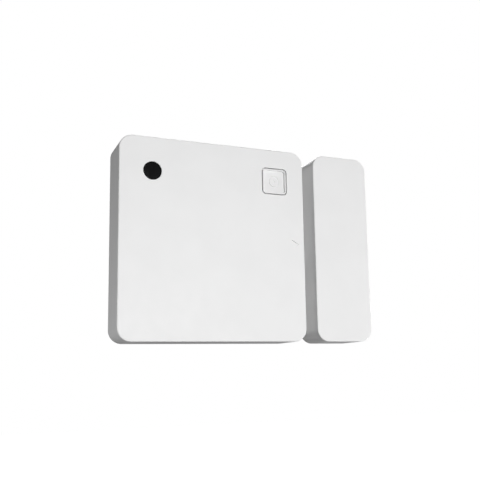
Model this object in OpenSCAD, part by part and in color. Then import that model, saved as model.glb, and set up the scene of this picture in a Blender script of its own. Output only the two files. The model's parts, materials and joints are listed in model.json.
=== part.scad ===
// Door contact sensor: a coin-cell sensor for the door frame and a magnet for the door.
// X runs along the wall from the sensor to the magnet, Y into the wall and Z up.
// The origin is the centre of the face of the sensor's adhesive pad that sticks to the wall.
// A level is a distance out from the wall, so the housings' front faces are at the largest one.
// Positions on a board or a front face are [x, z] from the centre of the sensor.

/* [Housings] */
// Width of the sensor's housing
sensor_w = 35.1; // [35:0.1:38]
// Height of both housings
housing_h = 36; // [36:0.1:39]
// Depth of both housings, from the front face to the back edge
housing_d = 7.6; // [7.6:0.1:9]
// Width of the magnet's housing
magnet_w = 11.6; // [11.4:0.1:15]
// Space between the two housings when the door is shut
door_gap = 2.3; // [1:0.1:8]
// Radius of the housings' corners
corner_r = 2.4; // [2:0.1:3]
// Radius of the rounded edge round a front face
edge_r = 0.2; // [0.1:0.05:0.4]
// Thickness of a front wall
front_wall = 0.9; // [0.8:0.05:0.9]
// Thickness of a side wall
side_wall = 1.4; // [1.3:0.05:1.5]

/* [Back covers] */
// Thickness of a back cover
cover_t = 1.1; // [0.9:0.05:1.1]
// How far a cover reaches under the side walls
cover_ledge = 0.6; // [0.4:0.05:0.8]
// Space round a cover
cover_gap = 0.1; // [0.05:0.05:0.15]
// Width of a snap tongue
tongue_w = 4; // [3:0.5:5]
// How far a snap tongue stands above its cover
tongue_h = 1.7; // [1.5:0.1:2]
// Thickness of a snap tongue
tongue_t = 0.8; // [0.6:0.1:0.9]
// Width of the notch that a coin turns in to open the sensor
notch_w = 6; // [4:0.5:8]

/* [Adhesive pads] */
// Thickness of an adhesive pad
pad_t = 0.8; // [0.5:0.1:1.2]
// Distance from a housing's edge to its pad
pad_margin = 2.6; // [1.6:0.1:4]
// Corner radius of an adhesive pad
pad_r = 1.5; // [1:0.1:2]

/* [Light window] */
// Distance from the sensor's left side to the window's centre
window_from_side = 5.9; // [5.6:0.05:6.4]
// Distance from the sensor's top to the window's centre
window_from_top = 6.15; // [5.8:0.05:6.6]
// Diameter of the window
window_dia = 3.3; // [3:0.02:3.6]
// How far the window's face lies behind the front face
window_sink = 0.04; // [0:0.01:0.1]

/* [Button] */
// Distance from the sensor's right side to the button's centre
button_from_side = 5.88; // [5.8:0.01:6.2]
// Distance from the sensor's top to the button's centre
button_from_top = 6.05; // [6:0.05:6.3]
// Width and height of the button
button_w = 4.7; // [4.4:0.05:5]
// Corner radius of the button
button_r = 0.62; // [0.4:0.02:0.9]
// Gap round the button
button_gap = 0.2; // [0.1:0.01:0.2]
// Width of the flat rim round the button's dish
rim_w = 0.25; // [0.2:0.05:0.5]
// Depth of the dish in the button's face
dish_depth = 0.4; // [0.2:0.05:0.45]
// How much smaller the dish is at its floor than at its rim, on each side
dish_slope = 0.05; // [0.05:0.05:0.4]
// Travel of the button
button_travel = 0.2; // [0.1:0.05:0.2]

/* [Circuit board] */
// Thickness of the board
board_t = 0.7; // [0.6:0.1:0.7]
// Space round the board
board_gap = 0.3; // [0.2:0.05:0.4]
// Radius of the pins that hold the board
pin_r = 0.5; // [0.4:0.05:0.6]

/* [Coin cell] */
// Diameter of the coin cell
cell_dia = 20; // [19.8:0.1:20]
// Thickness of the coin cell
cell_t = 3.2; // [3:0.1:3.2]
// Centre of the coin cell
cell_at = [-1, -4.8]; // [-5:0.1:0]

/* [Magnet] */
// Width of the bar magnet
bar_w = 5; // [4:0.5:5]
// Height of the bar magnet
bar_h = 22; // [15:1:24]
// Thickness of the bar magnet
bar_t = 3; // [2:0.5:3]

/* [Hidden] */

$fn = 96;
tiny = 0.01;
sides = [-1, 1];

// Levels, from the wall outwards
front_level = pad_t + housing_d;
inner_level = front_level - front_wall;
cover_level = pad_t + cover_t;
cell_gap = 0.15;
cell_level = cover_level + cell_gap;
contact_h = 0.2;
board_back = cell_level + cell_t + contact_h;
board_front = board_back + board_t;

// Housings
edge_steps = 5;
magnet_x = sensor_w / 2 + door_gap + magnet_w / 2;
wall_rest = side_wall - cover_ledge;
cavity_r = corner_r - side_wall;
rebate_r = corner_r - wall_rest;
cover_r = rebate_r - cover_gap;

// Snap tongues, as [distance along the wall] from a cover's middle
sensor_tongues_x = 9;
sensor_tongues_z = 9.5;
magnet_tongues_z = 14.2;
magnet_tongue_w = 3;
tongue_gap = 0.1;
bead_r = 0.3;
bead_proud = 0.06;
bead_below_tip = 0.5;
groove_r = 0.4;

// Window, its shroud and what sits under it
window_at = [window_from_side - sensor_w / 2, housing_h / 2 - window_from_top];
window_r = window_dia / 2;
window_hole_gap = 0.02;
window_flange_r = 2.3;
window_flange_t = 0.4;
shroud_wall = 0.8;
light_sensor_size = [1.6, 1.4, 0.65];
light_sensor_up = 0.45;
led_size = [1, 0.5, 0.4];
led_down = 0.9;

// Button and the switch behind it
button_at = [sensor_w / 2 - button_from_side, housing_h / 2 - button_from_top];
button_edge_r = 0.08;
flange_w = button_w + 1.2;
flange_t = 0.3;
flange_gap = 0.02;
guide_wall = 0.5;
guide_gap = 0.1;
guide_h = 0.5;
stem_r = 0.7;
press_gap = 0.03;
symbol_r = 1.1;
symbol_stroke = 0.22;
symbol_depth = 0.12;
symbol_dot_r = 0.3;
switch_size = [4, 3.2];
switch_r = 0.3;
switch_base_h = 0.5;
switch_floor = 0.08;
switch_cover_t = 0.1;
switch_cavity_r = 1.35;
switch_hole_r = 0.95;
switch_tab = [1.2, 0.12];
plunger_r = 0.8;
plunger_foot = 0.45;
plunger_top = 0.87;
dome_r = 1.2;
dome_rise = 0.1;
dome_t = 0.06;
terminal_size = [0.6, 0.5, 0.15];
terminal_row = 1;

// Alignment mark beside the magnetic switch
mark_at = [16.25, 0.17];
mark_arm = 1.4;
mark_angle = 29;
mark_stroke = 0.22;
mark_depth = 0.25;

// Board, its pins and what is soldered to it
board_w = sensor_w - 2 * side_wall - 2 * board_gap;
board_h = housing_h - 2 * side_wall - 2 * board_gap;
board_r = 0.9;
board_pins = [[-13.8, -14], [13.8, -14], [-13.8, 5], [6, 14.4]];
post_r = 1.2;
pin_gap = 0.02;
stake_r = 0.9;
stake_h = 0.35;
antenna_at = [-14.4, 13.3];
antenna_turns = 6;
antenna_pitch = 1.6;
antenna_h = 2.5;
antenna_trace = 0.45;
copper_t = 0.04;
radio_chip_size = [5, 5, 0.85];
radio_chip_at = [-5.7, 10.1];
radio_crystal_size = [2.5, 2, 0.6];
radio_crystal_at = [-0.6, 10.6];
clock_crystal_size = [3.2, 1.5, 0.8];
clock_crystal_at = [-11.7, 10.4];
crystal_base_t = 0.2;
crystal_lid_inset = 0.15;
motion_sensor_size = [2, 2, 0.95];
motion_sensor_at = [9, 10.2];
inductor_size = [2, 1.6, 1];
inductor_at = [3.9, 9.4];
buffer_size = [2.8, 3.5, 1.9];
buffer_at = [12.6, 2.8];
dot_r = 0.25;
dot_inset = 0.75;
dot_depth = 0.05;
hall_size = [1.3, 2.9, 0.95];
hall_at = [13.6, 0.3];
hall_lead = [0.45, 0.4, 0.12];
hall_lead_rows = 0.95;
small_part = [1, 0.5];
capacitor_h = 0.5;
resistor_h = 0.35;
// Each is [x, z, turn in degrees]
capacitors = [
    [-9.3, 12, 90], [-9.3, 8.4, 90], [-5.6, 6.7, 0], [-2.3, 9, 90], [-1.9, 12.6, 0],
    [1.6, 11.2, 90], [1.6, 9.2, 90], [3.9, 11.2, 0], [6, 9.6, 90], [7, 11.4, 90],
    [11.2, 10.2, 90], [12.4, 6.4, 0], [10.3, 4.2, 90], [10.3, 1.8, 90]
];
resistors = [
    [-13.2, 7.6, 90], [-11.7, 8.4, 0], [0.4, 13.6, 0], [2.4, 14.2, 90], [13, 8.6, 90],
    [13, 11, 90], [12.4, -0.6, 0], [9.4, 7.6, 0]
];
pad_dot_r = 0.6;
pad_dots = 6;
pad_dot_pitch = 1.7;
pad_dot_at = [13.4, -2.6];

// Battery holder and contacts, as heights from the cell's outer face
cell_r = cell_dia / 2;
holder_gap = 0.12;
holder_wall = 0.9;
holder_lip = 0.37;
holder_floor_t = 0.14;
holder_floor_r = 8;
holder_h = cell_t + contact_h;
push_gap_w = 8;
push_gap_angle = 215;
clip_w = 3.2;
clip_gap_w = 4.4;
clip_t = 0.2;
clip_foot = 2.2;
clip_foot_t = 0.12;
clip_drop = 0.8;
leaf_w = 3;
leaf_reach = 6;
leaf_bend = 3;
leaf_t = 0.1;

// Coin cell's layers
can_t = 0.25;
can_bevel = 0.4;
crimp_low = 2.7;
crimp_high = 2.95;
crimp_r = cell_r - 0.75;
seal_gap = 0.05;
seal_low = 0.6;
seal_r = crimp_r - 0.2;
seal_high = 2.98;
cap_low = 0.7;
cap_r = seal_r - 0.05;
cap_bevel = 0.45;
cathode_r = 8.5;
cathode_t = 1.35;
separator_t = 0.1;
anode_r = 8.2;

// Bar magnet's cradle
cradle_wall = 0.8;
cradle_h = 2.2;
cradle_gap = 0.05;
cradle_notch_w = 6;
press_rib_w = 4;
press_rib_t = 0.8;
press_rib_z = 7;

// Places a child drawn on the XY plane at a level, so that it faces away from the wall
module out_at(level) {
    translate([0, -level, 0])
        rotate([90, 0, 0])
            children();
}

module rounded(w, h, r) {
    square([w - 2 * r, h], center = true);
    square([w, h - 2 * r], center = true);
    for (x = sides, y = sides)
        translate([x * (w / 2 - r), y * (h / 2 - r)])
            circle(r);
}

module slab(w, h, r, t) {
    linear_extrude(t)
        rounded(w, h, r);
}

// Block with its lower face on the plane z = 0
module block(size) {
    translate([-size[0] / 2, -size[1] / 2, 0])
        cube(size);
}

// Upright prism whose upper edge is rounded by an arc of the given radius
module soft_slab(w, h, r, t, edge) {
    hull() {
        for (i = [0 : edge_steps]) {
            turn = 90 * i / edge_steps;
            inset = edge * (1 - cos(turn));
            slab(w - 2 * inset, h - 2 * inset, r - inset, t - edge + edge * sin(turn));
        }
    }
}

// Open-backed case without its inner features
module case_shell(w) {
    difference() {
        out_at(pad_t)
            soft_slab(w, housing_h, corner_r, housing_d, edge_r);
        out_at(pad_t - tiny)
            slab(w - 2 * side_wall, housing_h - 2 * side_wall, cavity_r,
                inner_level - pad_t + tiny);
        out_at(pad_t - tiny)
            slab(w - 2 * wall_rest, housing_h - 2 * wall_rest, rebate_r, cover_t + tiny);
    }
}

module cover_plate(w) {
    out_at(pad_t)
        slab(w - 2 * wall_rest - 2 * cover_gap, housing_h - 2 * wall_rest - 2 * cover_gap,
            cover_r, cover_t);
}

// Tongue that stands against a wall on its right, at a distance from the cover's middle
module snap_tongue(reach, w) {
    face = reach - tongue_gap;
    bead_level = cover_level + tongue_h - bead_below_tip;
    out_at(pad_t + tiny)
        translate([face - tongue_t, -w / 2, 0])
            cube([tongue_t, w, cover_t + tongue_h - tiny]);
    translate([face - bead_r + bead_proud, -bead_level, -w / 2])
        cylinder(r = bead_r, h = w);
}

// Groove in a wall for the bead of a tongue
module snap_groove(reach, w) {
    bead_level = cover_level + tongue_h - bead_below_tip;
    translate([reach - bead_r + bead_proud, -bead_level, -w / 2 - tongue_gap])
        cylinder(r = groove_r, h = w + 2 * tongue_gap);
}

// Repeats a child drawn for a right-hand wall on both side walls
module on_side_walls(z) {
    for (turn = [0, 180], s = sides)
        rotate([0, turn, 0])
            translate([0, 0, s * z])
                children();
}

// Repeats a child drawn for a right-hand wall on the top and bottom walls
module on_end_walls(x) {
    for (turn = [90, 270], s = sides)
        rotate([0, turn, 0])
            translate([0, 0, s * x])
                children();
}

module adhesive_pad(w) {
    out_at(0)
        slab(w - 2 * pad_margin, housing_h - 2 * pad_margin, pad_r, pad_t);
}

// Part soldered to the back of the board
module on_board_back(at) {
    translate([at[0], -board_back, at[1]])
        rotate([-90, 0, 0])
            children();
}

// Part soldered to the front of the board
module on_board_front(at) {
    out_at(board_front)
        translate([at[0], at[1], 0])
            children();
}

module chip(size) {
    difference() {
        block(size);
        translate([dot_inset - size[0] / 2, size[1] / 2 - dot_inset, size[2] - dot_depth])
            cylinder(r = dot_r, h = dot_depth + tiny);
    }
}

module crystal(size) {
    lid = [size[0] - 2 * crystal_lid_inset, size[1] - 2 * crystal_lid_inset,
        size[2] - crystal_base_t];
    block([size[0], size[1], crystal_base_t]);
    translate([0, 0, crystal_base_t])
        block(lid);
}

module board_posts() {
    for (p = board_pins) {
        out_at(board_front)
            translate([p[0], p[1], 0])
                cylinder(r = post_r, h = inner_level - board_front + tiny);
        out_at(board_back - stake_h)
            translate([p[0], p[1], 0])
                cylinder(r = pin_r, h = board_t + stake_h + tiny);
        out_at(board_back - stake_h)
            translate([p[0], p[1], 0])
                cylinder(r1 = stake_r - stake_h / 2, r2 = stake_r, h = stake_h);
    }
}

// Frame inside the shell that keeps the button's flange square
module button_guide() {
    inside = flange_w + 2 * guide_gap;
    outside = inside + 2 * guide_wall;
    out_at(inner_level - guide_h)
        translate([button_at[0], button_at[1], 0])
            difference() {
                slab(outside, outside, button_r + guide_wall, guide_h + tiny);
                translate([0, 0, -tiny])
                    slab(inside, inside, button_r, guide_h + 3 * tiny);
            }
}

module alignment_mark() {
    out_at(front_level - mark_depth)
        translate([mark_at[0], mark_at[1], 0])
            linear_extrude(mark_depth + tiny) {
                circle(mark_stroke / 2);
                for (s = sides)
                    rotate(180 + s * mark_angle)
                        translate([0, -mark_stroke / 2])
                            square([mark_arm, mark_stroke]);
            }
}

module pry_notch() {
    translate([-notch_w / 2, -cover_level, housing_h / 2 - wall_rest - tiny])
        cube([notch_w, cover_t + tiny, wall_rest + 2 * tiny]);
}

module front_shell() {
    hole_w = button_w + 2 * button_gap;
    color("white")
        difference() {
            union() {
                case_shell(sensor_w);
                board_posts();
                button_guide();
            }
            out_at(inner_level - tiny)
                translate([window_at[0], window_at[1], 0])
                    cylinder(r = window_r + window_hole_gap, h = front_wall + 2 * tiny);
            out_at(inner_level - tiny)
                translate([button_at[0], button_at[1], 0])
                    slab(hole_w, hole_w, button_r + button_gap, front_wall + 2 * tiny);
            alignment_mark();
            pry_notch();
            on_side_walls(sensor_tongues_z)
                snap_groove(sensor_w / 2 - side_wall, tongue_w);
            on_end_walls(sensor_tongues_x)
                snap_groove(housing_h / 2 - side_wall, tongue_w);
        }
}

module back_cover() {
    color("whitesmoke") {
        cover_plate(sensor_w);
        on_side_walls(sensor_tongues_z)
            snap_tongue(sensor_w / 2 - side_wall, tongue_w);
        on_end_walls(sensor_tongues_x)
            snap_tongue(housing_h / 2 - side_wall, tongue_w);
    }
}

module sensor_adhesive_pad() {
    color("gainsboro")
        adhesive_pad(sensor_w);
}

module light_window() {
    flange_level = inner_level - window_flange_t;
    color("black")
        out_at(flange_level)
            translate([window_at[0], window_at[1], 0]) {
                cylinder(r = window_flange_r, h = window_flange_t);
                cylinder(r = window_r, h = front_level - window_sink - flange_level);
            }
}

module light_shroud() {
    shroud_h = inner_level - window_flange_t - board_front;
    color("dimgray")
        on_board_front(window_at)
            difference() {
                cylinder(r = window_flange_r, h = shroud_h);
                translate([0, 0, -tiny])
                    cylinder(r = window_flange_r - shroud_wall, h = shroud_h + 2 * tiny);
            }
}

module light_sensor() {
    color("silver")
        on_board_front(window_at + [0, light_sensor_up])
            block(light_sensor_size);
}

module status_led() {
    color("ivory")
        on_board_front(window_at - [0, led_down])
            block(led_size);
}

module main_board() {
    color("darkgreen")
        difference() {
            out_at(board_back)
                slab(board_w, board_h, board_r, board_t);
            for (p = board_pins)
                out_at(board_back - tiny)
                    translate([p[0], p[1], 0])
                        cylinder(r = pin_r + pin_gap, h = board_t + 2 * tiny);
        }
}

module printed_antenna() {
    color("goldenrod")
        on_board_back(antenna_at)
            linear_extrude(copper_t) {
                for (i = [0 : antenna_turns])
                    translate([i * antenna_pitch, -antenna_h])
                        square([antenna_trace, antenna_h]);
                for (i = [0 : antenna_turns - 1])
                    translate([i * antenna_pitch, i % 2 == 0 ? -antenna_h : -antenna_trace])
                        square([antenna_pitch + antenna_trace, antenna_trace]);
            }
}

module radio_chip() {
    color("black")
        on_board_back(radio_chip_at)
            chip(radio_chip_size);
}

module radio_crystal() {
    color("silver")
        on_board_back(radio_crystal_at)
            crystal(radio_crystal_size);
}

module clock_crystal() {
    color("silver")
        on_board_back(clock_crystal_at)
            crystal(clock_crystal_size);
}

module motion_sensor() {
    color("dimgray")
        on_board_back(motion_sensor_at)
            chip(motion_sensor_size);
}

module magnetic_switch() {
    color("black")
        on_board_front(hall_at)
            block(hall_size);
}

module magnetic_switch_leads() {
    color("silver")
        on_board_front(hall_at) {
            for (z = [-hall_lead_rows, hall_lead_rows])
                translate([-hall_size[0] / 2 - hall_lead[0] / 2, z, 0])
                    block(hall_lead);
            translate([hall_size[0] / 2 + hall_lead[0] / 2, 0, 0])
                block(hall_lead);
        }
}

module power_inductor() {
    color("gray")
        on_board_back(inductor_at)
            block(inductor_size);
}

module buffer_capacitor() {
    color("orange")
        on_board_back(buffer_at)
            block(buffer_size);
}

module small_parts(places, h) {
    for (p = places)
        on_board_back(p)
            rotate(p[2])
                block([small_part[0], small_part[1], h]);
}

module small_capacitors() {
    color("tan")
        small_parts(capacitors, capacitor_h);
}

module small_resistors() {
    color("black")
        small_parts(resistors, resistor_h);
}

module test_pads() {
    color("gold")
        for (i = [0 : pad_dots - 1])
            on_board_back(pad_dot_at - [0, i * pad_dot_pitch])
                cylinder(r = pad_dot_r, h = copper_t);
}

module switch_base() {
    color("ivory")
        on_board_front(button_at)
            difference() {
                slab(switch_size[0], switch_size[1], switch_r, switch_base_h);
                translate([0, 0, switch_floor])
                    cylinder(r = switch_cavity_r, h = switch_base_h);
            }
}

module switch_cover() {
    tab_h = switch_base_h + switch_cover_t;
    color("silver")
        on_board_front(button_at) {
            translate([0, 0, switch_base_h])
                difference() {
                    slab(switch_size[0], switch_size[1], switch_r, switch_cover_t);
                    translate([0, 0, -tiny])
                        cylinder(r = switch_hole_r, h = switch_cover_t + 2 * tiny);
                }
            for (s = sides)
                translate([0, s * (switch_size[1] + switch_tab[1]) / 2, 0])
                    block([switch_tab[0], switch_tab[1], tab_h]);
        }
}

module switch_terminals() {
    color("silver")
        on_board_front(button_at)
            for (x = sides, z = sides)
                translate([x * (switch_size[0] + terminal_size[0]) / 2, z * terminal_row, 0])
                    block(terminal_size);
}

module switch_plunger() {
    color("dimgray")
        on_board_front(button_at)
            translate([0, 0, plunger_foot])
                cylinder(r = plunger_r, h = plunger_top - plunger_foot);
}

module switch_dome() {
    color("silver")
        on_board_front(button_at)
            translate([0, 0, plunger_foot - dome_t])
                rotate_extrude()
                    polygon([
                        [0, 0], [plunger_r, 0], [dome_r, -dome_rise],
                        [dome_r, dome_t - dome_rise], [plunger_r, dome_t], [0, dome_t]
                    ]);
}

// Ring with a dot, sunk in the button's dish
module button_symbol() {
    difference() {
        circle(symbol_r);
        circle(symbol_r - symbol_stroke);
    }
    circle(symbol_dot_r);
}

module button_cap() {
    flange_level = inner_level - flange_gap - flange_t;
    stem_level = board_front + plunger_top + press_gap;
    rim = button_w - 2 * rim_w;
    floor_w = rim - 2 * dish_slope;
    dish_level = front_level - dish_depth;
    color("white")
        translate([button_at[0], 0, button_at[1]])
            difference() {
                union() {
                    out_at(flange_level)
                        soft_slab(button_w, button_w, button_r, front_level - flange_level,
                            button_edge_r);
                    out_at(flange_level)
                        slab(flange_w, flange_w, button_r, flange_t);
                    out_at(stem_level)
                        cylinder(r = stem_r, h = flange_level - stem_level + tiny);
                }
                out_at(dish_level)
                    hull() {
                        slab(floor_w, floor_w, button_r - rim_w / 2, tiny);
                        translate([0, 0, dish_depth])
                            slab(rim, rim, button_r - rim_w / 2, tiny);
                    }
                out_at(dish_level - symbol_depth)
                    linear_extrude(symbol_depth + tiny)
                        button_symbol();
            }
}

// Places a child at the coin cell, so that it faces away from the wall
module at_cell() {
    out_at(cell_level)
        translate([cell_at[0], cell_at[1], 0])
            children();
}

module battery_holder() {
    inner = cell_r + holder_gap;
    outer = inner + holder_wall;
    floor_h = holder_h - holder_floor_t;
    color("dimgray")
        at_cell()
            difference() {
                union() {
                    rotate_extrude()
                        polygon([
                            [inner, holder_h], [inner, holder_lip], [inner - holder_lip, 0],
                            [outer, 0], [outer, holder_h]
                        ]);
                    translate([0, 0, floor_h])
                        difference() {
                            cylinder(r = inner + tiny, h = holder_floor_t);
                            translate([0, 0, -tiny])
                                cylinder(r = holder_floor_r, h = holder_floor_t + 2 * tiny);
                        }
                }
                translate([-clip_gap_w / 2, cell_r, -tiny])
                    cube([clip_gap_w, outer, holder_h + 2 * tiny]);
                translate([-clip_gap_w / 2, cell_r - 1, -tiny])
                    cube([clip_gap_w, outer, floor_h]);
                rotate(push_gap_angle)
                    translate([cell_r - 1, -push_gap_w / 2, -tiny])
                        cube([outer, push_gap_w, floor_h]);
            }
}

module positive_contact() {
    color("silver")
        at_cell()
            translate([-clip_w / 2, cell_r, 0]) {
                translate([0, 0, clip_drop])
                    cube([clip_w, clip_t, holder_h - clip_drop]);
                translate([0, 0, holder_h - clip_foot_t])
                    cube([clip_w, clip_foot, clip_foot_t]);
            }
}

module negative_contact() {
    color("silver")
        at_cell()
            rotate([90, 0, 0])
                translate([0, 0, -leaf_w / 2])
                    linear_extrude(leaf_w)
                        polygon([
                            [-leaf_reach, holder_h], [-leaf_reach, holder_h - leaf_t],
                            [-leaf_bend, holder_h - leaf_t], [0, cell_t],
                            [leaf_bend, holder_h - leaf_t], [leaf_reach, holder_h - leaf_t],
                            [leaf_reach, holder_h], [leaf_bend, holder_h],
                            [0, cell_t + leaf_t], [-leaf_bend, holder_h]
                        ]);
}

module coin_cell_can() {
    color("silver")
        at_cell()
            rotate_extrude()
                polygon([
                    [0, 0], [cell_r - can_bevel, 0], [cell_r, can_bevel],
                    [cell_r, crimp_low], [crimp_r, crimp_high], [crimp_r, crimp_high - can_t],
                    [cell_r - can_t, crimp_low - can_t + seal_gap], [cell_r - can_t, 2 * can_t],
                    [cell_r - 2 * can_t, can_t], [0, can_t]
                ]);
}

module coin_cell_gasket() {
    outer = cell_r - can_t - seal_gap;
    color("gray")
        at_cell()
            rotate_extrude()
                polygon([
                    [seal_r, seal_low], [outer, seal_low], [outer, crimp_low - can_t],
                    [crimp_r, crimp_high - can_t - seal_gap], [crimp_r, seal_high],
                    [seal_r, seal_high]
                ]);
}

module coin_cell_cap() {
    color("silver")
        at_cell()
            rotate_extrude()
                polygon([
                    [0, cell_t - can_t], [cap_r - can_t - cap_bevel, cell_t - can_t],
                    [cap_r - can_t, cell_t - can_t - cap_bevel], [cap_r - can_t, cap_low],
                    [cap_r, cap_low], [cap_r, cell_t - cap_bevel], [cap_r - cap_bevel, cell_t],
                    [0, cell_t]
                ]);
}

module cell_cathode() {
    color("black")
        at_cell()
            translate([0, 0, can_t])
                cylinder(r = cathode_r, h = cathode_t);
}

module cell_separator() {
    color("white")
        at_cell()
            translate([0, 0, can_t + cathode_t])
                cylinder(r = cathode_r, h = separator_t);
}

module cell_anode() {
    anode_low = can_t + cathode_t + separator_t;
    color("lightgray")
        at_cell()
            translate([0, 0, anode_low])
                cylinder(r = anode_r, h = cell_t - can_t - anode_low);
}

module magnet_shell() {
    rib_level = cover_level + bar_t + cradle_gap;
    color("white")
        translate([magnet_x, 0, 0])
            difference() {
                union() {
                    case_shell(magnet_w);
                    for (s = sides)
                        out_at(rib_level)
                            translate([0, s * press_rib_z, 0])
                                block([press_rib_w, press_rib_t,
                                    inner_level - rib_level + tiny]);
                }
                on_side_walls(magnet_tongues_z)
                    snap_groove(magnet_w / 2 - side_wall, magnet_tongue_w);
            }
}

module magnet_base() {
    inside = [bar_w + 2 * cradle_gap, bar_h + 2 * cradle_gap];
    color("whitesmoke")
        translate([magnet_x, 0, 0]) {
            cover_plate(magnet_w);
            on_side_walls(magnet_tongues_z)
                snap_tongue(magnet_w / 2 - side_wall, magnet_tongue_w);
            out_at(cover_level - tiny)
                difference() {
                    block([inside[0] + 2 * cradle_wall, inside[1] + 2 * cradle_wall,
                        cradle_h + tiny]);
                    translate([0, 0, tiny])
                        block([inside[0], inside[1], cradle_h + tiny]);
                    translate([0, 0, tiny])
                        block([magnet_w, cradle_notch_w, cradle_h + tiny]);
                }
        }
}

module bar_magnet() {
    color("silver")
        translate([magnet_x, 0, 0])
            out_at(cover_level)
                block([bar_w, bar_h, bar_t]);
}

module magnet_adhesive_pad() {
    color("gainsboro")
        translate([magnet_x, 0, 0])
            adhesive_pad(magnet_w);
}

back_cover();
sensor_adhesive_pad();
front_shell();
light_window();
light_shroud();
light_sensor();
status_led();
main_board();
printed_antenna();
radio_chip();
radio_crystal();
clock_crystal();
motion_sensor();
magnetic_switch();
magnetic_switch_leads();
power_inductor();
buffer_capacitor();
small_capacitors();
small_resistors();
test_pads();
switch_base();
switch_cover();
switch_terminals();
switch_plunger();
switch_dome();
button_cap();
battery_holder();
positive_contact();
negative_contact();
coin_cell_can();
coin_cell_gasket();
coin_cell_cap();
cell_cathode();
cell_separator();
cell_anode();
magnet_shell();
magnet_base();
bar_magnet();
magnet_adhesive_pad();
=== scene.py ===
# Looks of a door contact sensor: a square sensor with a round dark window and a sunk button,
# beside a narrow magnet unit. X runs along the wall, Y into the wall and Z up.
# Lengths are in millimetres until a mesh is made. A level is a distance out from the wall.
# The camera, the lamps and the floor are placed in metres.
import json
import math

import bmesh
import bpy
from mathutils import Matrix, Vector, noise


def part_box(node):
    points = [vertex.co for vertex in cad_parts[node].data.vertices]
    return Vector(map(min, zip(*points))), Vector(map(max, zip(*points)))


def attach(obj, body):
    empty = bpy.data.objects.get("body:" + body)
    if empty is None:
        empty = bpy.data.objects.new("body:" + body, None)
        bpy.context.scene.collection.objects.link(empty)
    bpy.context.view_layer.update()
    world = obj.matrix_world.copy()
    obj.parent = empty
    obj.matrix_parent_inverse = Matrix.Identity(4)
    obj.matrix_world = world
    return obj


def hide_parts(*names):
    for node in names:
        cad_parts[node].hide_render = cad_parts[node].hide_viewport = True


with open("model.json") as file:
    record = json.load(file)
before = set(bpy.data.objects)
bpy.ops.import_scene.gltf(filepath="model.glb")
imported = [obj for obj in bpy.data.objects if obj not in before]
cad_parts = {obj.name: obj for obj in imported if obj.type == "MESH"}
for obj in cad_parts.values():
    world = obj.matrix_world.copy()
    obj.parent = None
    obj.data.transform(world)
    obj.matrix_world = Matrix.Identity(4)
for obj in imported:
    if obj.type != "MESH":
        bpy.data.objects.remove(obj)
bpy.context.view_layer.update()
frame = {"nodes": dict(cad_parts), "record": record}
nodes = frame["nodes"]

MM = 0.001
WELD = 1e-5
SAME_PLACE_DIGITS = 7
TURN = 2 * math.pi
ARC_STEPS = 6
HOOP_STEPS = 96
X_AXIS = Vector((1, 0, 0))
Y_AXIS = Vector((0, 1, 0))
Z_AXIS = Vector((0, 0, 1))


# ---------------------------------------------------------------- places in the frame

class Box:
    """A box in millimetres. back and front are the levels of its two faces along Y, and spot is
    its centre as seen from the front."""

    def __init__(self, low, high):
        self.low = Vector(low)
        self.high = Vector(high)
        self.centre = (self.low + self.high) / 2
        self.spot = (self.centre.x, self.centre.z)
        self.size = self.high - self.low
        self.back = -self.high.y
        self.front = -self.low.y

    def cut(self, axis, start, end):
        """The part of the box from start to end along an axis, measured from its low corner."""
        low, high = self.low.copy(), self.high.copy()
        low[axis] = self.low[axis] + start
        high[axis] = self.low[axis] + end
        return Box(low, high)

    def shrunk(self, x, y, z):
        inset = Vector((x, y, z))
        return Box(self.low + inset, self.high - inset)


def node_box(node):
    low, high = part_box(node)
    return Box(low / MM, high / MM)


def solids(node):
    """Boxes of a node's separate solids, from left to right."""
    work = bmesh.new()
    work.from_mesh(nodes[node].data)
    bmesh.ops.remove_doubles(work, verts=work.verts, dist=WELD * MM)
    seen = set()
    boxes = []
    for start in work.verts:
        if start in seen:
            continue
        seen.add(start)
        group = [start]
        for vert in group:
            for edge in vert.link_edges:
                other = edge.other_vert(vert)
                if other not in seen:
                    seen.add(other)
                    group.append(other)
        corners = [vert.co / MM for vert in group]
        boxes.append(Box([min(c[i] for c in corners) for i in range(3)],
                         [max(c[i] for c in corners) for i in range(3)]))
    work.free()
    return sorted(boxes, key=lambda box: (round(box.centre.x, 3), round(box.centre.z, 3)))


BOARD = node_box("main_board")
COVER = node_box("back_cover")
CELL = node_box("coin_cell_can")
FRONT = node_box("front_shell").front


def seat(box):
    """(level of the board's face, level of the part's top, direction) for a soldered part."""
    if box.centre.y > BOARD.centre.y:
        return BOARD.back, box.back, -1
    return BOARD.front, box.front, 1


def board_point(x, z):
    """Point on the board's back face."""
    return Vector((x, -BOARD.back, z))


def lie(box):
    """(index of a box's longer side, direction of that side, direction across it)."""
    if box.size.x > box.size.z:
        return 0, X_AXIS, Z_AXIS
    return 2, Z_AXIS, X_AXIS


# ---------------------------------------------------------------- mesh helpers

def quarter_arc():
    return [math.pi / 2 * i / ARC_STEPS for i in range(ARC_STEPS + 1)]


def round_over(radius):
    """Pairs (inset, drop) that round an edge over, from the side to the face."""
    return [(radius * (1 - math.cos(angle)), radius * (1 - math.sin(angle)))
            for angle in quarter_arc()]


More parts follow.
